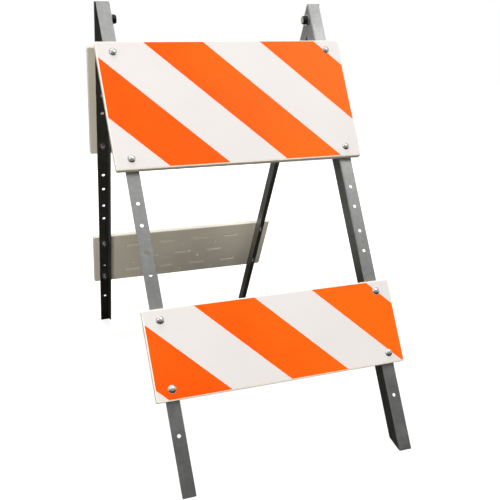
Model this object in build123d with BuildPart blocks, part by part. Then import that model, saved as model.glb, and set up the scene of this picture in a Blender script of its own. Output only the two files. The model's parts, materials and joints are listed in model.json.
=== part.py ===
"""Folding A-frame barricade: two steel leg frames that share a pivot bolt at
each side, with two striped hollow plastic boards bolted to each frame.

Frame of the model: millimetres, +Z up, origin on the ground below the middle
of the pivot line, +X to the right when facing the front boards, -Y out of the
front. The barricade is drawn standing open on its four feet.
"""
import os
from math import acos, asin, cos, radians, sin, tan

from build123d import *

os.makedirs("parts", exist_ok=True)

# ---------------------------------------------------------------- driving sizes
# overall
board_width = 609.6          # every board is 24 in wide
upper_height = 304.8         # 12 in board
lower_height = 203.2         # 8 in board
leg_length = 1143.0          # 45 in, along the outer face
half_angle = 30.5            # each frame leans this far from upright, degrees

# leg angle section
leg_gauge = 1.9              # 14 gauge sheet
leg_face = 31.75             # width of the flange that carries the boards
side_flange = 34.925         # width of the flange that carries the pivot
leg_bend = 2.0               # inside radius of the fold
foot_clip_angle = 45.0       # the side flange is clipped above the foot, degrees

# hole pattern of the legs
hole_gauge = 15.875          # hole centre from the folded corner
hole_diameter = 8.73         # 11/32 in
end_to_hole = 133.35         # leg end to its first hole, at top and bottom
hole_pitch = 50.8            # unit of the hole spacing
end_steps = (0, 2, 3, 5)     # holes of the end groups, in pitches from the first
middle_holes = (485.8, 599.3)  # first hole of each middle pair, from the leg's top

# boards
board_thickness = 14.3
board_wall = 2.4
board_corner = 4.0           # corner radius in the front view
board_edge = 2.2             # rounding of the long edges
board_row = 25.4             # bolt row to the board's nearest edge
front_bolt_spacing = 533.4   # across the front frame, 21 in
board_boss = 28.0            # solid plastic around each bolt, diameter
tack_length = 58.0           # pinched slots in the back wall
tack_width = 10.0
tack_draft = 8.0             # degrees
tack_pitch = 114.3           # along a row
tack_rows = 57.15            # from row to row
pit_diameter = 9.0           # round pinched marks between the slots
pit_rise = 0.6               # from a row of slots up to its pits, in rows
end_groove = 241.3           # middle of the board to a shallow groove at each end
groove_width = 2.4
groove_depth = 0.8
vent_diameter = 6.0          # blowing hole in the lower edge

# reflective sheeting
sheeting_margin = 3.0
sheeting_thickness = 0.4
stripe_thickness = 0.15
stripe_width = 101.6         # measured square to the stripe, 4 in
upper_stripe_start = -52.5   # a stripe edge meets the board's top edge here
lower_stripe_start = -46.0

# board fasteners, 5/16 in carriage bolts
bolt_diameter = 7.94
bolt_length = 31.75
bolt_head_diameter = 18.3
bolt_head_height = 4.4
bolt_head_rim = 0.8          # upright edge of the domed head
bolt_neck_side = 8.2         # square neck below the head
bolt_neck_depth = 4.6
bolt_point = 0.8             # chamfer at the end of every bolt
nut_flats = 12.7
nut_height = 6.75
washer_diameter = 19.05
washer_thickness = 1.6

# pivots, 1/2 in bolts
pivot_depth = 20.0           # pivot centre below the legs' outer face
pivot_diameter = 12.7
pivot_head_flats = 19.05
pivot_head_height = 7.9
pivot_nut_flats = 19.05
pivot_nut_height = 7.4       # hexagonal part of the thin lock nut
pivot_collar_height = 3.0    # round part that holds the locking ring
pivot_washer_diameter = 26.0
pivot_washer_thickness = 1.8
pivot_tail = 0.6             # thread showing past the lock nut

# named clearances
stop_gap = 0.3               # between the leg ends that meet when it stands open
pivot_clearance = 0.08       # radial, pivot bolt in its flanges
pivot_play = 0.05            # axial, each side of a flange that turns
thread_clearance = 0.04      # radial, nut on bolt
neck_clearance = 0.2         # each side of the carriage bolt's square neck
leg_space = 1.6              # between the side flanges of a front and a rear leg
film_relief = 0.4            # stripe film cut back round each bolt head

# ------------------------------------------------------------- derived sizes
lean = radians(half_angle)
apex_height = leg_length * cos(lean)
apex_offset = leg_gauge * cos(lean) + stop_gap / 2
pivot_along = (pivot_depth * cos(lean) - apex_offset) / sin(lean)
pivot_height = apex_height - pivot_along * cos(lean) - pivot_depth * sin(lean)

# The clipped top of a side flange runs along the other frame's face flange
# and then turns round the pivot, so the frames can swing flat together.
clip_radius = pivot_along * sin(2 * lean) - (pivot_depth - leg_gauge) * cos(2 * lean)
edge_reach = side_flange - pivot_depth
edge_turn = acos(edge_reach / clip_radius)   # where the turn meets the free edge
bend_outer = leg_bend + leg_gauge

front_corner = front_bolt_spacing / 2 - hole_gauge
rear_corner = front_corner + leg_gauge + leg_space
front_bolt_x = front_corner + hole_gauge
rear_bolt_x = rear_corner + hole_gauge

top_group = [end_to_hole + step * hole_pitch for step in end_steps]
middle_group = [row + step * hole_pitch for row in middle_holes for step in (0, 1)]
bottom_group = [leg_length - row for row in reversed(top_group)]
hole_rows = top_group + middle_group + bottom_group

# upper board on the first hole of the legs, lower board on the last but one
upper_rows = (hole_rows[0], hole_rows[0] + upper_height - 2 * board_row)
lower_rows = (hole_rows[-2] - lower_height + 2 * board_row, hole_rows[-2])

board_front = board_thickness + sheeting_thickness
neck_hole = bolt_neck_side + 2 * neck_clearance
pivot_thread_end = pivot_nut_height + pivot_collar_height + pivot_tail


def frame_plane(facing):
    """Outer face of a leg frame: origin where the outer faces end at the top,
    local +Y up the legs, local +Z outwards. facing is -1 front, +1 rear."""
    return Plane(
        origin=(0, facing * apex_offset, apex_height),
        x_dir=(-facing, 0, 0),
        z_dir=(0, facing * cos(lean), sin(lean)),
    )


def shifted(plane, along_x, along_y, along_z):
    """The same plane with its origin moved in its own directions."""
    return Plane(
        origin=plane.from_local_coords((along_x, along_y, along_z)),
        x_dir=plane.x_dir,
        z_dir=plane.z_dir,
    )


front_plane = frame_plane(-1)
rear_plane = frame_plane(1)


def finish(part, name):
    """Label a finished piece and write its file."""
    part.label = name
    export_step(part, f"parts/{name}.step")


# ----------------------------------------------------------------------- legs
def make_leg(plane, side, corner, name):
    """One folded angle leg; side is +1 or -1 along the plane's own X."""
    section_plane = Plane(origin=plane.origin, x_dir=plane.x_dir, z_dir=-plane.y_dir)
    clip_span = bend_outer + 2.0
    clip_start = corner - 1.0 if side > 0 else -corner - bend_outer - 1.0
    clip_plane = Plane(
        origin=plane.from_local_coords((clip_start, 0, 0)),
        x_dir=-plane.y_dir,
        z_dir=plane.x_dir,
    )
    beyond = side_flange + 5.0
    foot = leg_length - leg_gauge * tan(lean)
    clip_run = (side_flange - leg_gauge) / tan(radians(foot_clip_angle))
    touch = (
        pivot_along - clip_radius * sin(2 * lean),
        pivot_depth + clip_radius * cos(2 * lean),
    )
    mid_turn = (
        pivot_along - clip_radius * sin(lean + edge_turn / 2),
        pivot_depth + clip_radius * cos(lean + edge_turn / 2),
    )
    turn_end = (pivot_along - clip_radius * sin(edge_turn), side_flange)

    with BuildPart() as leg:
        with BuildSketch(section_plane) as section:
            with BuildLine():
                Polyline(
                    (side * corner, 0),
                    (side * (corner + leg_face), 0),
                    (side * (corner + leg_face), -leg_gauge),
                    (side * (corner + leg_gauge), -leg_gauge),
                    (side * (corner + leg_gauge), -side_flange),
                    (side * corner, -side_flange),
                    close=True,
                )
            make_face()
            outside = [v for v in section.vertices() if abs(v.X) < corner + 0.01 and v.Y > -0.01]
            fillet(outside, bend_outer)
            inside = [
                v
                for v in section.vertices()
                if abs(abs(v.X) - corner - leg_gauge) < 0.01 and abs(v.Y + leg_gauge) < 0.01
            ]
            fillet(inside, leg_bend)
        extrude(amount=leg_length + 2.0)
        split(bisect_by=Plane.XY, keep=Keep.TOP)
        # clipped upper end of the side flange
        with BuildSketch(clip_plane):
            with BuildLine():
                Line((0, leg_gauge), touch)
                ThreePointArc(touch, mid_turn, turn_end)
                Polyline(
                    turn_end,
                    (turn_end[0], beyond),
                    (-5, beyond),
                    (-5, leg_gauge),
                    (0, leg_gauge),
                )
            make_face()
        extrude(amount=clip_span, mode=Mode.SUBTRACT)
        # clipped lower end of the side flange
        with BuildSketch(clip_plane):
            with BuildLine():
                Polyline(
                    (foot, leg_gauge),
                    (foot - clip_run, side_flange),
                    (foot - clip_run, beyond),
                    (foot + 5, beyond),
                    (foot + 5, leg_gauge),
                    close=True,
                )
            make_face()
        extrude(amount=clip_span, mode=Mode.SUBTRACT)
        with BuildSketch(clip_plane):
            with Locations((pivot_along, pivot_depth)):
                Circle(pivot_diameter / 2 + pivot_clearance)
        extrude(amount=clip_span, mode=Mode.SUBTRACT)
        with BuildSketch(plane):
            with Locations(*[(side * (corner + hole_gauge), -row) for row in hole_rows]):
                Circle(hole_diameter / 2)
        extrude(amount=-leg_gauge - 1.0, mode=Mode.SUBTRACT)
    finish(leg.part, name)


make_leg(front_plane, -1, front_corner, "front_left_leg")
make_leg(front_plane, 1, front_corner, "front_right_leg")
make_leg(rear_plane, 1, rear_corner, "rear_left_leg")
make_leg(rear_plane, -1, rear_corner, "rear_right_leg")


# --------------------------------------------------------------------- boards
def tack_row(row):
    """Positions along one row of slots; every other row is shifted half a pitch."""
    shift = tack_pitch / 2 * (row % 2)
    places = [column * tack_pitch + shift for column in range(-3, 4)]
    return [place for place in places if abs(place) + tack_length / 2 < front_corner]


def rows_each_way(height):
    """Rows of slots above and below the middle row of a board."""
    return int((height / 2 - board_row / 2) // tack_rows)


def tack_centres(height):
    """Centres of the pinched slots, between the legs only."""
    reach = rows_each_way(height)
    return [(x, row * tack_rows) for row in range(-reach, reach + 1) for x in tack_row(row)]


def pit_centres(height):
    """Round pits between the rows of slots, and below the lowest row."""
    reach = rows_each_way(height)
    return [
        (x, (row + pit_rise) * tack_rows)
        for row in range(-reach - 1, reach)
        for x in tack_row(row)
    ]


def make_board(plane, rows, height, bolt_x, stripe_start, name):
    """A hollow blown board, its sheeting and its stripes."""
    middle = sum(rows) / 2
    back = shifted(plane, 0, -middle, 0)
    bolt_points = [(x, middle - row) for row in rows for x in (-bolt_x, bolt_x)]
    lower_edge = Plane(
        origin=back.from_local_coords((0, -height / 2, board_thickness / 2)),
        x_dir=back.x_dir,
        z_dir=back.y_dir,
    )

    with BuildPart() as hollow:
        with BuildSketch(shifted(back, 0, 0, board_wall)):
            RectangleRounded(
                board_width - 2 * board_wall,
                height - 2 * board_wall,
                board_corner - board_wall,
            )
            with Locations(*tack_centres(height)):
                SlotOverall(
                    tack_length + 2 * board_wall,
                    tack_width + 2 * board_wall,
                    mode=Mode.SUBTRACT,
                )
            with Locations(*pit_centres(height)):
                Circle(pit_diameter / 2 + board_wall, mode=Mode.SUBTRACT)
            with Locations(*bolt_points):
                Circle(board_boss / 2, mode=Mode.SUBTRACT)
        extrude(amount=board_thickness - 2 * board_wall)

    with BuildPart() as board:
        with BuildSketch(back):
            RectangleRounded(board_width, height, board_corner)
        extrude(amount=board_thickness)
        flat_faces = board.faces().sort_by(Axis(back.origin, back.z_dir))
        fillet(flat_faces[0].edges() + flat_faces[-1].edges(), board_edge)
        add(hollow.part, mode=Mode.SUBTRACT)
        with BuildSketch(back):
            with Locations(*tack_centres(height)):
                SlotOverall(tack_length, tack_width)
            with Locations(*pit_centres(height)):
                Circle(pit_diameter / 2)
        extrude(
            amount=board_thickness - 2 * board_wall,
            taper=tack_draft,
            mode=Mode.SUBTRACT,
        )
        with BuildSketch(back):
            with Locations((-end_groove, 0), (end_groove, 0)):
                Rectangle(groove_width, height)
        extrude(amount=groove_depth, mode=Mode.SUBTRACT)
        with BuildSketch(back):
            with Locations(*bolt_points):
                Circle(hole_diameter / 2)
        extrude(amount=board_thickness, mode=Mode.SUBTRACT)
        with BuildSketch(shifted(back, 0, 0, board_thickness)):
            with Locations(*bolt_points):
                Rectangle(neck_hole, neck_hole)
        extrude(amount=-bolt_neck_depth - neck_clearance, mode=Mode.SUBTRACT)
        with BuildSketch(lower_edge):
            Circle(vent_diameter / 2)
        extrude(amount=2 * board_wall, mode=Mode.SUBTRACT)
    finish(board.part, name + "_board")

    film_width = board_width - 2 * sheeting_margin
    film_height = height - 2 * sheeting_margin
    with BuildPart() as sheeting:
        with BuildSketch(shifted(back, 0, 0, board_thickness)):
            RectangleRounded(film_width, film_height, board_corner)
            with Locations(*bolt_points):
                Circle(neck_hole / 2 * 2**0.5 + neck_clearance, mode=Mode.SUBTRACT)
        extrude(amount=sheeting_thickness)
    finish(sheeting.part, name + "_sheeting")

    # Stripes slope down to the right; their edges are pitch apart along X.
    pitch = stripe_width * 2**0.5
    top = height / 2
    first = -int((board_width + height) / pitch)
    with BuildPart() as stripes:
        with BuildSketch(shifted(back, 0, 0, board_front)):
            for count in range(first, -first):
                if count % 2 == 0:
                    continue
                edge = stripe_start + count * pitch
                with BuildLine():
                    Polyline(
                        (edge, top),
                        (edge + pitch, top),
                        (edge + pitch + height, top - height),
                        (edge + height, top - height),
                        close=True,
                    )
                make_face()
            RectangleRounded(film_width, film_height, board_corner, mode=Mode.INTERSECT)
            with Locations(*bolt_points):
                Circle(bolt_head_diameter / 2 + film_relief, mode=Mode.SUBTRACT)
        extrude(amount=stripe_thickness)
    finish(stripes.part, name + "_stripes")


# ---------------------------------------------------------- board fasteners
head_radius = bolt_head_diameter / 2
dome_rise = bolt_head_height - bolt_head_rim
dome_radius = (head_radius**2 + dome_rise**2) / (2 * dome_rise)
dome_turn = asin(head_radius / dome_radius) / 2
dome_mid = (
    dome_radius * sin(dome_turn),
    bolt_head_height - dome_radius + dome_radius * cos(dome_turn),
)

with BuildPart() as carriage_bolt:
    with BuildSketch(Plane.XZ):
        with BuildLine():
            Polyline(
                (0, bolt_head_height),
                (0, -bolt_length),
                (bolt_diameter / 2 - bolt_point, -bolt_length),
                (bolt_diameter / 2, -bolt_length + bolt_point),
                (bolt_diameter / 2, 0),
                (head_radius, 0),
                (head_radius, bolt_head_rim),
            )
            ThreePointArc((head_radius, bolt_head_rim), dome_mid, (0, bolt_head_height))
        make_face()
    revolve(axis=Axis.Z)
    with BuildSketch(Plane.XY):
        Rectangle(bolt_neck_side, bolt_neck_side)
    extrude(amount=-bolt_neck_depth)

with BuildPart() as hex_nut:
    with BuildSketch(Plane.XY):
        RegularPolygon(nut_flats / 2, 6, major_radius=False)
        Circle(bolt_diameter / 2 + thread_clearance, mode=Mode.SUBTRACT)
    extrude(amount=-nut_height)
    with BuildSketch(Plane.XZ):
        with BuildLine():
            Polyline(
                (nut_flats / 2 * 0.97, -nut_height),
                (nut_flats / 2 * 1.3, -nut_height),
                (nut_flats / 2 * 1.3, -nut_height + 1.3),
                close=True,
            )
        make_face()
    revolve(axis=Axis.Z, mode=Mode.SUBTRACT)

with BuildPart() as flat_washer:
    with BuildSketch(Plane.XY):
        Circle(washer_diameter / 2)
        Circle(hole_diameter / 2, mode=Mode.SUBTRACT)
    extrude(amount=-washer_thickness)
    chamfer(flat_washer.faces().sort_by(Axis.Z)[0].edges().sort_by(SortBy.LENGTH)[-1], 0.25)


def make_fasteners(plane, rows, bolt_x, name):
    """Carriage bolts from the front of a board, washers and nuts behind."""
    points = [(x, -row) for row in rows for x in (-bolt_x, bolt_x)]
    levels = (
        ("_bolts", carriage_bolt, board_front),
        ("_washers", flat_washer, -leg_gauge),
        ("_nuts", hex_nut, -leg_gauge - washer_thickness),
    )
    for suffix, piece, level in levels:
        with BuildPart(shifted(plane, 0, 0, level)) as group:
            with Locations(*points):
                add(piece.part)
        finish(group.part, name + suffix)


for frame_name, leg_plane, board_bolt_x in (
    ("front", front_plane, front_bolt_x),
    ("rear", rear_plane, rear_bolt_x),
):
    for level, rows, height, stripe_start in (
        ("_upper", upper_rows, upper_height, upper_stripe_start),
        ("_lower", lower_rows, lower_height, lower_stripe_start),
    ):
        board_name = frame_name + level
        make_board(leg_plane, rows, height, board_bolt_x, stripe_start, board_name)
        make_fasteners(leg_plane, rows, board_bolt_x, board_name)


# --------------------------------------------------------------------- pivots
def pivot_plane(side, across):
    """Plane on the pivot axis with its normal pointing outwards."""
    return Plane(origin=(side * across, 0, pivot_height), x_dir=(0, 1, 0), z_dir=(side, 0, 0))


def make_ring(side, start, thickness, outer, inner, name):
    """A plain washer on the pivot, from start outwards."""
    with BuildPart() as ring:
        with BuildSketch(pivot_plane(side, start)):
            Circle(outer / 2)
            Circle(inner, mode=Mode.SUBTRACT)
        extrude(amount=thickness)
    finish(ring.part, name)


def make_pivot(side, name):
    """Bolt, three washers and lock nut that join two legs."""
    bore = pivot_diameter / 2 + pivot_clearance
    rear_outside = rear_corner + leg_gauge
    head_start = rear_outside + pivot_play + pivot_washer_thickness
    nut_start = front_corner - pivot_washer_thickness

    make_ring(
        side, nut_start, pivot_washer_thickness, pivot_washer_diameter, bore,
        name + "_pivot_inner_washer",
    )
    make_ring(
        side, front_corner + leg_gauge, leg_space - pivot_play, pivot_washer_diameter, bore,
        name + "_pivot_spacer",
    )
    make_ring(
        side, rear_outside + pivot_play, pivot_washer_thickness, pivot_washer_diameter, bore,
        name + "_pivot_outer_washer",
    )

    with BuildPart() as bolt:
        with BuildSketch(pivot_plane(side, head_start)):
            RegularPolygon(pivot_head_flats / 2, 6, major_radius=False)
        extrude(amount=pivot_head_height)
        with BuildSketch(pivot_plane(side, nut_start - pivot_thread_end)):
            Circle(pivot_diameter / 2)
        extrude(amount=head_start - nut_start + pivot_thread_end)
        thread_end = bolt.faces().sort_by(Axis((0, 0, 0), (side, 0, 0)))[0]
        chamfer(thread_end.edges(), bolt_point)
    finish(bolt.part, name + "_pivot_bolt")

    with BuildPart() as nut:
        with BuildSketch(pivot_plane(side, nut_start)):
            RegularPolygon(pivot_nut_flats / 2, 6, major_radius=False)
        extrude(amount=-pivot_nut_height)
        with BuildSketch(pivot_plane(side, nut_start - pivot_nut_height)):
            Circle(pivot_nut_flats / 2 * 0.94)
        extrude(amount=-pivot_collar_height)
        inner_end = nut.faces().sort_by(Axis((0, 0, 0), (side, 0, 0)))[0]
        fillet(inner_end.edges(), 1.4)
        with BuildSketch(pivot_plane(side, nut_start)):
            Circle(pivot_diameter / 2 + thread_clearance)
        extrude(amount=-pivot_nut_height - pivot_collar_height, mode=Mode.SUBTRACT)
    finish(nut.part, name + "_pivot_nut")


make_pivot(-1, "left")
make_pivot(1, "right")
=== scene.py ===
"""Looks of the folding barricade: finishes, bolts, floor, light and camera."""
import json
from math import asin, atan2, cos, hypot, pi, radians, sin

import bmesh
import bpy
from mathutils import Matrix, Vector


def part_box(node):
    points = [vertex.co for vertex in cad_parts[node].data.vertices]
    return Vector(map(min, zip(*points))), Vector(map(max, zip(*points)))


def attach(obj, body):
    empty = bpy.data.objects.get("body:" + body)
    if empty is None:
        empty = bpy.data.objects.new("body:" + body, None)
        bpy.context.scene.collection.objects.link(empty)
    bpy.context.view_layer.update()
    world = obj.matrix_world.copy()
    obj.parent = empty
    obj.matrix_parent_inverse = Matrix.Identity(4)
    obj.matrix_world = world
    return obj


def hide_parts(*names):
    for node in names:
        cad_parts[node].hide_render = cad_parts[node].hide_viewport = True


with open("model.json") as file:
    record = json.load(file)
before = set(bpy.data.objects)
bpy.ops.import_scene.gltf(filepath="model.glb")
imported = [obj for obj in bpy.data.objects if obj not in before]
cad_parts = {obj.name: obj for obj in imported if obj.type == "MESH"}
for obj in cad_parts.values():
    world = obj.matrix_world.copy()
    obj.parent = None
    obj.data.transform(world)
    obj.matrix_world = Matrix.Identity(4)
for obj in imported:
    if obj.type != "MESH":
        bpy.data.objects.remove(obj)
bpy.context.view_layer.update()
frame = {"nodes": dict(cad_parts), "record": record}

nodes = frame["nodes"]
scene = bpy.context.scene
MM = 0.001
FRONT, REAR = "front_frame", "rear_frame"


# ------------------------------------------------------------ camera
CAMERA_PLACE = Vector((-0.5274, -1.6520, 0.8217))
CAMERA_TURN = 18.365    # degrees right of straight ahead
CAMERA_DIP = 24.116     # degrees below level
CAMERA_ROLL = -1.266    # degrees, positive turns the view anticlockwise
CAMERA_LENS = 45.025    # mm
CAMERA_SENSOR = 36.0    # mm
CAMERA_FAR = 100.0      # m
CAMERA_SHIFT = (0.0424, 0.2122)


def add_camera():
    """Camera at the front left, level with the top of the legs."""
    turn, dip, roll = (radians(a) for a in (CAMERA_TURN, CAMERA_DIP, CAMERA_ROLL))
    ahead = Vector((sin(turn) * cos(dip), cos(turn) * cos(dip), -sin(dip)))
    right = ahead.cross(Vector((0, 0, 1))).normalized()
    up = right.cross(ahead)
    rolled_right = right * cos(roll) + up * sin(roll)
    rolled_up = up * cos(roll) - right * sin(roll)
    data = bpy.data.cameras.new("view")
    data.sensor_width = CAMERA_SENSOR
    data.lens = CAMERA_LENS
    data.shift_x, data.shift_y = CAMERA_SHIFT
    data.clip_end = CAMERA_FAR
    camera = bpy.data.objects.new("view", data)
    axes = Matrix((rolled_right, rolled_up, -ahead)).transposed().to_4x4()
    camera.matrix_world = Matrix.Translation(CAMERA_PLACE) @ axes
    scene.collection.objects.link(camera)
    scene.camera = camera


add_camera()


# ------------------------------------------------------------ studio
FLOOR_HALF = 30.0                       # m from the middle to the floor's edge
FLOOR_REACH = (0.5, 1.9)                # m from the middle, where near turns to far
FLOOR_GLOW = (0.80, 1.0)                # what the eye sees of the floor, near and far
FLOOR_BOUNCE = (0.034, 0.032, 0.026, 1.0)
WHITE = (1.0, 1.0, 1.0, 1.0)
CEILING_LIGHT = 1.35
CEILING_POWER = 3.2                     # how fast the light fades towards the horizon
HORIZON_LIGHT = 0.27
SOFT_SHARE = 0.10                       # part of the ceiling's light on dull surfaces
WALLS = (                               # axis, its sign, where it starts, added light
    ("Y", 1, 0.0, 0.08),
    ("Y", 1, 0.55, 0.35),
    ("X", 1, 0.65, 0.7),
    ("X", -1, 0.65, 0.6),
)
NEUTRAL = (1.0, 0.99, 0.97)
WARM = (1.0, 0.945, 0.84)
PLAIN = (1.0, 1.0, 1.0)
LIGHTS = (  # name, place and aim in m, width in m, power in W, tint, seen in metal
    ("key", (1.3, -2.8, 3.9), (0, -0.1, 0.5), 1.0, 78.0, NEUTRAL, False),
    ("fill", (-1.5, -4.4, 1.2), (0, 0, 0.5), 1.8, 112.0, WARM, False),
    ("top", (-0.4, 1.2, 4.6), (0, 0.1, 0.4), 1.4, 125.0, NEUTRAL, False),
    ("back", (1.4, 4.4, 1.5), (0, 0, 0.5), 2.6, 110.0, WARM, False),
    ("side", (-4.2, -0.6, 1.4), (0, 0, 0.5), 1.6, 60.0, NEUTRAL, False),
    ("glint", (-2.2, -2.6, 3.2), (0, -0.3, 0.5), 0.35, 9.0, NEUTRAL, True),
    ("sheen", (2.3, -1.7, 4.1), (0, 0, 0.6), 1.8, 25.0, PLAIN, True),
)


# ------------------------------------------------------------ finishes
COLOUR_A, COLOUR_B = 6, 7     # a Mix node's colour sockets
MIXED_COLOUR = 2


class Finish:
    """A procedural finish on object coordinates, built node by node."""

    def __init__(self, name):
        self.material = bpy.data.materials.new(name)
        self.material.use_nodes = True
        self.tree = self.material.node_tree
        self.shader = self.tree.nodes["Principled BSDF"]
        self.place = self.node("ShaderNodeTexCoord").outputs["Object"]

    def node(self, kind, **settings):
        """Add a node and set its options."""
        made = self.tree.nodes.new(kind)
        for key, value in settings.items():
            setattr(made, key, value)
        return made

    def link(self, source, target):
        self.tree.links.new(source, target)

    def set(self, **values):
        """Set the shader's own sockets; an underscore stands for a space."""
        for key, value in values.items():
            self.shader.inputs[key.replace("_", " ")].default_value = value

    def stretched(self, scale):
        """Object coordinates scaled by a triple, for streaks."""
        mapping = self.node("ShaderNodeMapping")
        mapping.inputs["Scale"].default_value = scale
        self.link(self.place, mapping.inputs["Vector"])
        return mapping.outputs["Vector"]

    def noise(self, scale, detail=3.0, rough=0.55, where=None):
        """Cloudy noise, scale clouds to the metre."""
        made = self.node("ShaderNodeTexNoise")
        made.inputs["Scale"].default_value = scale
        made.inputs["Detail"].default_value = detail
        made.inputs["Roughness"].default_value = rough
        self.link(where or self.place, made.inputs["Vector"])
        return made.outputs["Fac"]

    def cells(self, scale):
        """Distance from the middle of the nearest cell."""
        made = self.node("ShaderNodeTexVoronoi")
        made.inputs["Scale"].default_value = scale
        self.link(self.place, made.inputs["Vector"])
        return made.outputs["Distance"]

    def span(self, value, low, high, to_low=0.0, to_high=1.0):
        """Map low..high to to_low..to_high, and hold it there outside."""
        made = self.node("ShaderNodeMapRange")
        for key, number in zip(
            ("From Min", "From Max", "To Min", "To Max"), (low, high, to_low, to_high)
        ):
            made.inputs[key].default_value = number
        self.link(value, made.inputs["Value"])
        return made.outputs["Result"]

    def calc(self, kind, first, second):
        """Arithmetic on sockets or plain numbers."""
        made = self.node("ShaderNodeMath", operation=kind)
        for socket, value in zip(made.inputs, (first, second)):
            if isinstance(value, (int, float)):
                socket.default_value = value
            else:
                self.link(value, socket)
        return made.outputs["Value"]

    def mix(self, amount, first, second):
        """Blend two colours, each a triple or a socket."""
        made = self.node("ShaderNodeMix", data_type="RGBA")
        self.link(amount, made.inputs["Factor"])
        for socket, colour in zip(made.inputs[COLOUR_A:COLOUR_B + 1], (first, second)):
            if isinstance(colour, tuple):
                socket.default_value = (*colour, 1.0)
            else:
                self.link(colour, socket)
        return made.outputs[MIXED_COLOUR]

    def colour(self, value):
        self.link(value, self.shader.inputs["Base Color"])

    def roughness(self, value):
        self.link(value, self.shader.inputs["Roughness"])

    def bump(self, height, distance, strength=1.0):
        """Relief of that many metres, on top of any relief before it."""
        made = self.node("ShaderNodeBump")
        made.inputs["Distance"].default_value = distance
        made.inputs["Strength"].default_value = strength
        self.link(height, made.inputs["Height"])
        if self.shader.inputs["Normal"].is_linked:
            before = self.shader.inputs["Normal"].links[0].from_socket
            self.link(before, made.inputs["Normal"])
        self.link(made.outputs["Normal"], self.shader.inputs["Normal"])

    def along(self, axis):
        """Place along an axis of the frame, in metres."""
        split = self.node("ShaderNodeSeparateXYZ")
        self.link(self.place, split.inputs["Vector"])
        return split.outputs[axis]


def galvanised_steel():
    """Dull zinc-coated sheet with faint spangle, and painted shade that darkens it towards the
    feet.
    """
    f = Finish("galvanised_steel")
    f.set(Metallic=1.0)
    spangle = f.span(f.cells(95.0), 0.0, 0.9)
    cloud = f.noise(9.0, 4.0)
    streaks = f.noise(30.0, 3.0, where=f.stretched((6.0, 1.0, 0.35)))
    tone = f.calc("ADD", f.calc("MULTIPLY", spangle, 0.25), f.calc("MULTIPLY", cloud, 0.5))
    tone = f.calc("ADD", tone, f.calc("MULTIPLY", streaks, 0.25))
    steel = f.mix(f.span(tone, 0.25, 0.75), (0.33, 0.33, 0.325), (0.45, 0.45, 0.44))
    # Painted shade: the steel darkens towards the feet, up to 0.75 m, broken up a little by
    # noise.
    low = f.span(f.along("Z"), 0.0, 0.75, 0.62, 0.0)
    painted_foot_shade = f.calc("MULTIPLY", low, f.span(f.noise(14.0, 5.0, 0.65), 0.3, 0.7, 0.55, 1.0))
    f.colour(f.mix(painted_foot_shade, steel, (0.07, 0.068, 0.06)))
    f.roughness(f.span(cloud, 0.3, 0.7, 0.38, 0.55))
    f.bump(f.noise(420.0, 2.0), 0.00012)
    f.bump(f.noise(26.0, 2.0), 0.0006, 0.5)
    return f.material


def white_plastic():
    """Blown polyethylene: creamy, softly uneven, scuffed."""
    f = Finish("white_plastic")
    f.set(Metallic=0.0, IOR=1.5)
    cloud = f.noise(5.0, 4.0)
    scuffs = f.noise(60.0, 4.0, 0.7, where=f.stretched((0.4, 2.5, 2.5)))
    base = f.mix(f.span(cloud, 0.3, 0.7), (0.80, 0.765, 0.675), (0.86, 0.835, 0.765))
    f.colour(f.mix(f.span(scuffs, 0.58, 0.8, 0.0, 0.35), base, (0.55, 0.51, 0.45)))
    f.roughness(f.span(scuffs, 0.3, 0.8, 0.36, 0.55))
    f.bump(f.noise(700.0, 2.0), 0.00008)
    f.bump(f.noise(18.0, 2.0), 0.0012, 0.4)
    return f.material


def film(name, dark, light, painted_light_slope=0.0):
    """Reflective sheeting: smooth face over a fine honeycomb of cells, with painted
    light that shifts its tone from left to right."""
    f = Finish(name)
    f.set(Metallic=0.0, Specular_IOR_Level=0.12)
    cloud = f.noise(4.0, 3.0)
    cell = f.cells(480.0)
    tone = f.calc("ADD", f.calc("MULTIPLY", cloud, 0.75), f.calc("MULTIPLY", cell, 0.35))
    # Painted light: the tone moves along X, from the dark colour on the left towards the light
    # one on the right.
    tone = f.calc("ADD", tone, f.calc("MULTIPLY", f.along("X"), painted_light_slope))
    f.colour(f.mix(f.span(tone, 0.3, 0.75), dark, light))
    f.roughness(f.span(cloud, 0.3, 0.7, 0.3, 0.42))
    f.bump(cell, 0.00006)
    f.bump(f.noise(11.0, 2.0), 0.0011, 0.4)
    return f.material


def zinc_plate(name, dark, light, gloss):
    """Plated fastener metal, a little uneven in tone; gloss is its roughness span."""
    f = Finish(name)
    f.set(Metallic=0.95)
    cloud = f.noise(150.0, 4.0)
    f.colour(f.mix(f.span(cloud, 0.3, 0.7), dark, light))
    f.roughness(f.span(cloud, 0.3, 0.7, *gloss))
    f.bump(f.noise(1400.0, 2.0), 0.00004)
    return f.material


def pale_floor():
    """White to the eye with soft shadows, and a dull brown in the legs' reflections."""
    f = Finish("pale_floor")
    f.colour(f.mix(f.span(f.noise(2.0), 0.3, 0.7), (0.34, 0.34, 0.34), (0.37, 0.37, 0.37)))
    f.roughness(f.span(f.noise(30.0), 0.3, 0.7, 0.8, 0.95))
    f.set(Specular_IOR_Level=0.0, Emission_Color=WHITE)
    away = f.node("ShaderNodeVectorMath", operation="LENGTH")
    f.link(f.place, away.inputs[0])
    glow = f.span(away.outputs["Value"], *FLOOR_REACH, *FLOOR_GLOW)
    f.link(glow, f.shader.inputs["Emission Strength"])
    dull = f.node("ShaderNodeBsdfDiffuse")
    dull.inputs["Color"].default_value = FLOOR_BOUNCE
    eye = f.node("ShaderNodeLightPath")
    blend = f.node("ShaderNodeMixShader")
    f.link(eye.outputs["Is Camera Ray"], blend.inputs["Fac"])
    f.link(dull.outputs[0], blend.inputs[1])
    f.link(f.shader.outputs[0], blend.inputs[2])
    f.link(blend.outputs[0], f.tree.nodes["Material Output"].inputs["Surface"])
    f.material.cycles.emission_sampling = "NONE"
    return f.material


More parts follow.
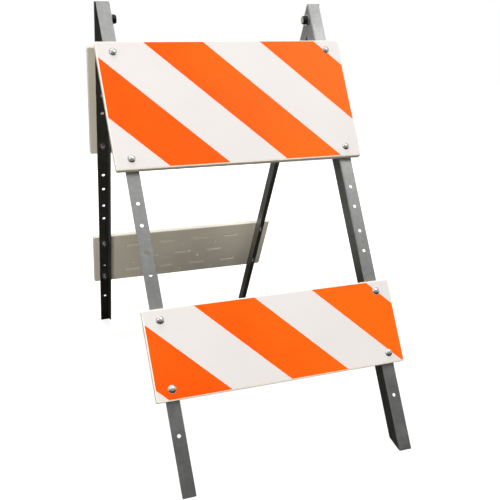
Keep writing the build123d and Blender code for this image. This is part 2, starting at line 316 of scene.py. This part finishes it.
plastic = white_plastic()
finishes = {
    "galvanised_leg": galvanised_steel(),
    "white_board": plastic,
    "white_sheeting": film("white_film", (0.684, 0.668, 0.678), (0.732, 0.716, 0.726)),
    # The orange sheeting carries painted light: its tone shifts from left to right.
    "orange_sheeting": film(
        "orange_film", (0.90, 0.092, 0.0046), (0.96, 0.136, 0.0068), painted_light_slope=0.9
    ),
    "zinc_fastener": zinc_plate(
        "zinc_plate", (0.50, 0.50, 0.48), (0.70, 0.70, 0.68), gloss=(0.14, 0.26)
    ),
    # Painted shade: the pivot lock nut is coloured near-black for the shade on its plated
    # sides.
    "dark_lock_nut": zinc_plate(
        "near_black_painted_shade", (0.016, 0.016, 0.016), (0.045, 0.045, 0.044), gloss=(0.3, 0.5)
    ),
    "pivot_spacer": plastic,
}

slots = {part["node"]: part["material_slot"] for part in frame["record"]["subparts"]}
for name, piece in nodes.items():
    piece.data.materials.clear()
    piece.data.materials.append(finishes[slots[name]])


# ------------------------------------------------------------ turned and hexagonal pieces
# Sizes are in mm unless they say otherwise.
LEAN = radians(30.5)         # each frame leans this far from upright
ROUND = 36                   # faces round a turned piece
SHARP = radians(32)          # edges sharper than this stay crisp
WELD = 0.005                 # closer points become one

BOLT_RADIUS = 3.97           # 5/16 in carriage bolt
BOLT_LENGTH = 31.75
BOLT_POINT = 0.8             # taper at the end of every bolt
HEAD_RADIUS = 9.15
HEAD_HEIGHT = 4.4
HEAD_RIM = 0.8
DOME_STEPS = 8
NECK_APOTHEM = 4.1
NECK_DEPTH = 4.6
BOARD_FRONT = 14.7           # underside of a bolt head to the leg's face
LEG_GAUGE = 1.9
WASHER = 1.6                 # washer thickness
NUT_APOTHEM = 6.35
NUT_HEIGHT = 6.75
NUT_CHAMFER = 1.0
BORE_GAP = 0.04              # between a nut's bore and its bolt
THREAD_PITCH = 1.41
THREAD_DEPTH = 0.75
THREAD_STOP = 1.0            # the last groove ends this far from a bolt's end

PIVOT_RADIUS = 6.35          # 1/2 in pivot bolt
PIVOT_APOTHEM = 9.525        # its head and its lock nut, half across the flats
PIVOT_CORNER = PIVOT_APOTHEM / cos(pi / 6)
PIVOT_HEAD = 7.9
PIVOT_THREAD = 14.0          # length of thread on the pivot bolt
PIVOT_NUT = 7.4
PIVOT_COLLAR = 3.0


def turned(profile):
    """Solid of revolution about Z from (radius, height) pairs in mm; a profile that
    stays off the axis is closed into a ring."""
    made = bmesh.new()
    line = [made.verts.new((radius * MM, 0, height * MM)) for radius, height in profile]
    if profile[0][0] > 0:
        line.append(line[0])
    for first, second in zip(line, line[1:]):
        made.edges.new((first, second))
    bmesh.ops.spin(
        made, geom=made.verts[:] + made.edges[:], cent=(0, 0, 0), axis=(0, 0, 1),
        angle=2 * pi, steps=ROUND, use_merge=True,
    )
    bmesh.ops.remove_doubles(made, verts=made.verts[:], dist=WELD * MM)
    bmesh.ops.recalc_face_normals(made, faces=made.faces[:])
    return made


def pinch(made, sides, apothem, low, high):
    """Flatten a turned solid to a prism between two heights."""
    wedge = 2 * pi / sides
    for vertex in made.verts:
        if low * MM <= vertex.co.z <= high * MM:
            turn = atan2(vertex.co.y, vertex.co.x) % wedge
            flat = apothem * MM / cos(turn - wedge / 2)
            radius = hypot(vertex.co.x, vertex.co.y)
            if radius > flat:
                vertex.co.x *= flat / radius
                vertex.co.y *= flat / radius


def threads(radius, start, end):
    """Profile points of V grooves from one height down to another."""
    points = []
    for count in range(int((start - end) / THREAD_PITCH)):
        height = start - count * THREAD_PITCH
        points += [(radius, height), (radius - THREAD_DEPTH, height - THREAD_PITCH / 2)]
    return points


def carriage_bolt():
    """Domed head, square neck and threaded shank; the head's underside is at zero."""
    rise = HEAD_HEIGHT - HEAD_RIM
    dome = (HEAD_RADIUS**2 + rise**2) / (2 * rise)
    reach = asin(HEAD_RADIUS / dome)
    turns = [reach * step / DOME_STEPS for step in range(DOME_STEPS + 1)]
    profile = [(dome * sin(a), HEAD_HEIGHT - dome + dome * cos(a)) for a in turns]
    corner = NECK_APOTHEM * 2**0.5
    profile += [(HEAD_RADIUS, 0.3), (HEAD_RADIUS - 0.3, 0), (NECK_APOTHEM, 0)]
    profile += [(corner, -0.2), (corner, 0.8 - NECK_DEPTH), (BOLT_RADIUS, -NECK_DEPTH)]
    profile += threads(BOLT_RADIUS, -BOARD_FRONT - LEG_GAUGE, THREAD_STOP - BOLT_LENGTH)
    profile += [(BOLT_RADIUS - BOLT_POINT, -BOLT_LENGTH), (0, -BOLT_LENGTH)]
    made = turned(profile)
    pinch(made, 4, NECK_APOTHEM, -NECK_DEPTH, -0.1)
    return made


def board_nut():
    """Nut chamfered on both faces, from zero down."""
    corner = NUT_APOTHEM / cos(pi / 6)
    flat = NUT_APOTHEM * 0.98
    bore = BOLT_RADIUS + BORE_GAP
    made = turned(
        [
            (bore + 0.5, 0), (flat, 0),
            (corner, -NUT_CHAMFER), (corner, NUT_CHAMFER - NUT_HEIGHT),
            (flat, -NUT_HEIGHT), (bore + 0.5, -NUT_HEIGHT),
            (bore, 0.5 - NUT_HEIGHT), (bore, -0.5),
        ]
    )
    pinch(made, 6, NUT_APOTHEM, -NUT_HEIGHT, 0)
    return made


def pivot_bolt(length):
    """Hexagonal head and threaded end; the top of the head is at zero."""
    profile = [(0, 0), (PIVOT_APOTHEM * 0.96, 0)]
    profile += [(PIVOT_CORNER, -1.15), (PIVOT_CORNER, 0.4 - PIVOT_HEAD)]
    profile += [(PIVOT_APOTHEM * 0.98, -PIVOT_HEAD), (PIVOT_RADIUS, -PIVOT_HEAD)]
    profile += threads(PIVOT_RADIUS, PIVOT_THREAD - length, THREAD_STOP - length)
    profile += [(PIVOT_RADIUS - BOLT_POINT, -length), (0, -length)]
    made = turned(profile)
    pinch(made, 6, PIVOT_APOTHEM, -PIVOT_HEAD, 0)
    return made


def lock_nut():
    """Thin lock nut with its crimped collar, from the washer down."""
    bore = PIVOT_RADIUS + BORE_GAP
    end = -PIVOT_NUT - PIVOT_COLLAR
    made = turned(
        [
            (bore, 0), (PIVOT_APOTHEM * 0.98, 0),
            (PIVOT_CORNER, -1.0), (PIVOT_CORNER, 0.9 - PIVOT_NUT),
            (9.3, -PIVOT_NUT), (8.95, -PIVOT_NUT - 0.3),
            (8.95, end + 1.2), (8.7, end + 0.5), (8.2, end + 0.1), (7.8, end),
            (7.7, end + 0.6), (bore, end + 0.6),
        ]
    )
    pinch(made, 6, PIVOT_APOTHEM, -PIVOT_NUT, 0)
    return made


def nylon_ring():
    """Locking ring let into the collar, standing just below the collar's rim."""
    end = -PIVOT_NUT - PIVOT_COLLAR
    bore = PIVOT_RADIUS + BORE_GAP / 2
    return turned([(bore, end + 0.58), (7.65, end + 0.58), (7.6, end + 0.1), (bore, end + 0.2)])


def placement(spot, outward, across):
    """Matrix that lays a piece's Z along outward with its foot on the spot."""
    axes = Matrix((across, outward.cross(across), outward)).transposed().to_4x4()
    return Matrix.Translation(spot) @ axes


def add_piece(name, shape, places, finish, body, node=None):
    """One object from a shape laid at each place."""
    whole = bmesh.new()
    single = bpy.data.meshes.new(name + "_single")
    for place in places:
        part = shape.copy()
        bmesh.ops.transform(part, matrix=place, verts=part.verts)
        part.to_mesh(single)
        part.free()
        whole.from_mesh(single)
    bpy.data.meshes.remove(single)
    mesh = bpy.data.meshes.new(name)
    whole.to_mesh(mesh)
    whole.free()
    mesh.shade_smooth()
    mesh.set_sharp_from_angle(angle=SHARP)
    mesh.materials.append(finishes[finish])
    piece = bpy.data.objects.new(name, mesh)
    scene.collection.objects.link(piece)
    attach(piece, body)
    if node:
        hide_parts(node)


def middle(points):
    """Middle of the box round some points."""
    spans = [[point[axis] for point in points] for axis in range(3)]
    return Vector([(min(span) + max(span)) / 2 for span in spans])


def washer_middles(node):
    """Middle of each of the four washers in a node."""
    centre = middle(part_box(node))
    groups = {}
    for vertex in nodes[node].data.vertices:
        key = (vertex.co.x > centre.x, vertex.co.z > centre.z)
        groups.setdefault(key, []).append(vertex.co)
    return [middle(points) for _, points in sorted(groups.items())]


def add_board_fasteners():
    """Four carriage bolts and nuts to a board, square to its face."""
    bolt = carriage_bolt()
    nut = board_nut()
    head = BOARD_FRONT + LEG_GAUGE + WASHER / 2
    for facing, side, body in ((-1, "front", FRONT), (1, "rear", REAR)):
        outward = Vector((0, facing * cos(LEAN), sin(LEAN)))
        across = Vector((-facing, 0, 0))
        for level in ("upper", "lower"):
            board = side + "_" + level
            middles = washer_middles(board + "_washers")
            for name, shape, rise in (("bolts", bolt, head), ("nuts", nut, -WASHER / 2)):
                places = [placement(m + outward * rise * MM, outward, across) for m in middles]
                add_piece(
                    board + "_turned_" + name, shape, places, "zinc_fastener",
                    body, board + "_" + name,
                )


def outer_end(node, outward, across):
    """Placement at the outer end of a node on the pivot line, and the node's length."""
    low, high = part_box(node)
    length = high.x - low.x
    return placement(middle((low, high)) + outward * length / 2, outward, across), length


def add_pivots():
    """Hexagonal bolt, lock nut and nylon ring at each side."""
    across = Vector((0, 1, 0))
    for side, sign in (("left", -1), ("right", 1)):
        outward = Vector((sign, 0, 0))
        name = side + "_pivot_"
        head, length = outer_end(name + "bolt", outward, across)
        add_piece(
            name + "hex_bolt", pivot_bolt(length / MM), [head], "zinc_fastener",
            FRONT, name + "bolt",
        )
        foot, _ = outer_end(name + "nut", outward, across)
        add_piece(
            name + "lock_nut", lock_nut(), [foot], "dark_lock_nut", FRONT, name + "nut"
        )
        add_piece(name + "ring", nylon_ring(), [foot], "pivot_spacer", FRONT)


add_board_fasteners()
add_pivots()


# ------------------------------------------------------------ floor and light
def add_floor():
    """Plain floor, part of the studio."""
    mesh = bpy.data.meshes.new("floor")
    made = bmesh.new()
    bmesh.ops.create_grid(made, x_segments=1, y_segments=1, size=FLOOR_HALF)
    made.to_mesh(mesh)
    made.free()
    mesh.materials.append(pale_floor())
    floor = bpy.data.objects.new("floor", mesh)
    scene.collection.objects.link(floor)


def add_light(name, place, aim, size, power, tint, mirrored):
    """Round soft light; one that is not mirrored does not show in metal."""
    data = bpy.data.lights.new(name, "AREA")
    data.shape = "DISK"
    data.size = size
    data.energy = power
    data.color = tint
    light = bpy.data.objects.new(name, data)
    place = Vector(place)
    turn = (Vector(aim) - place).to_track_quat("-Z", "Y")
    light.matrix_world = Matrix.Translation(place) @ turn.to_matrix().to_4x4()
    light.visible_glossy = mirrored
    scene.collection.objects.link(light)


def add_studio():
    """White behind the object; for its light, a dim horizon under a bright ceiling."""
    world = bpy.data.worlds.new("studio")
    world.use_nodes = True
    tree = world.node_tree
    link = tree.links.new

    def span(value, **ends):
        made = tree.nodes.new("ShaderNodeMapRange")
        link(value, made.inputs["Value"])
        for key, number in ends.items():
            made.inputs[key.replace("_", " ")].default_value = number
        return made.outputs["Result"]

    def calc(kind, *values):
        made = tree.nodes.new("ShaderNodeMath")
        made.operation = kind
        for socket, value in zip(made.inputs, values):
            if isinstance(value, (int, float)):
                socket.default_value = value
            else:
                link(value, socket)
        return made.outputs["Value"]

    split = tree.nodes.new("ShaderNodeSeparateXYZ")
    link(tree.nodes.new("ShaderNodeTexCoord").outputs["Generated"], split.inputs["Vector"])
    rise = calc("POWER", calc("MAXIMUM", split.outputs["Z"], 0.0), CEILING_POWER)
    level = calc("MULTIPLY_ADD", rise, CEILING_LIGHT, HORIZON_LIGHT)
    for axis, sign, start, extra in WALLS:
        toward = calc("MULTIPLY", split.outputs[axis], sign)
        level = calc("ADD", level, span(toward, From_Min=start, To_Max=extra))
    eye = tree.nodes.new("ShaderNodeLightPath")
    share = span(eye.outputs["Is Diffuse Ray"], To_Min=1.0, To_Max=SOFT_SHARE)
    cast = tree.nodes["Background"]
    cast.inputs["Color"].default_value = WHITE
    link(calc("MULTIPLY", level, share), cast.inputs["Strength"])
    sight = tree.nodes.new("ShaderNodeBackground")
    sight.inputs["Color"].default_value = WHITE
    blend = tree.nodes.new("ShaderNodeMixShader")
    link(eye.outputs["Is Camera Ray"], blend.inputs["Fac"])
    link(cast.outputs["Background"], blend.inputs[1])
    link(sight.outputs["Background"], blend.inputs[2])
    link(blend.outputs["Shader"], tree.nodes["World Output"].inputs["Surface"])
    scene.world = world


add_floor()
add_studio()
for light in LIGHTS:
    add_light(*light)

scene.view_settings.view_transform = "Standard"
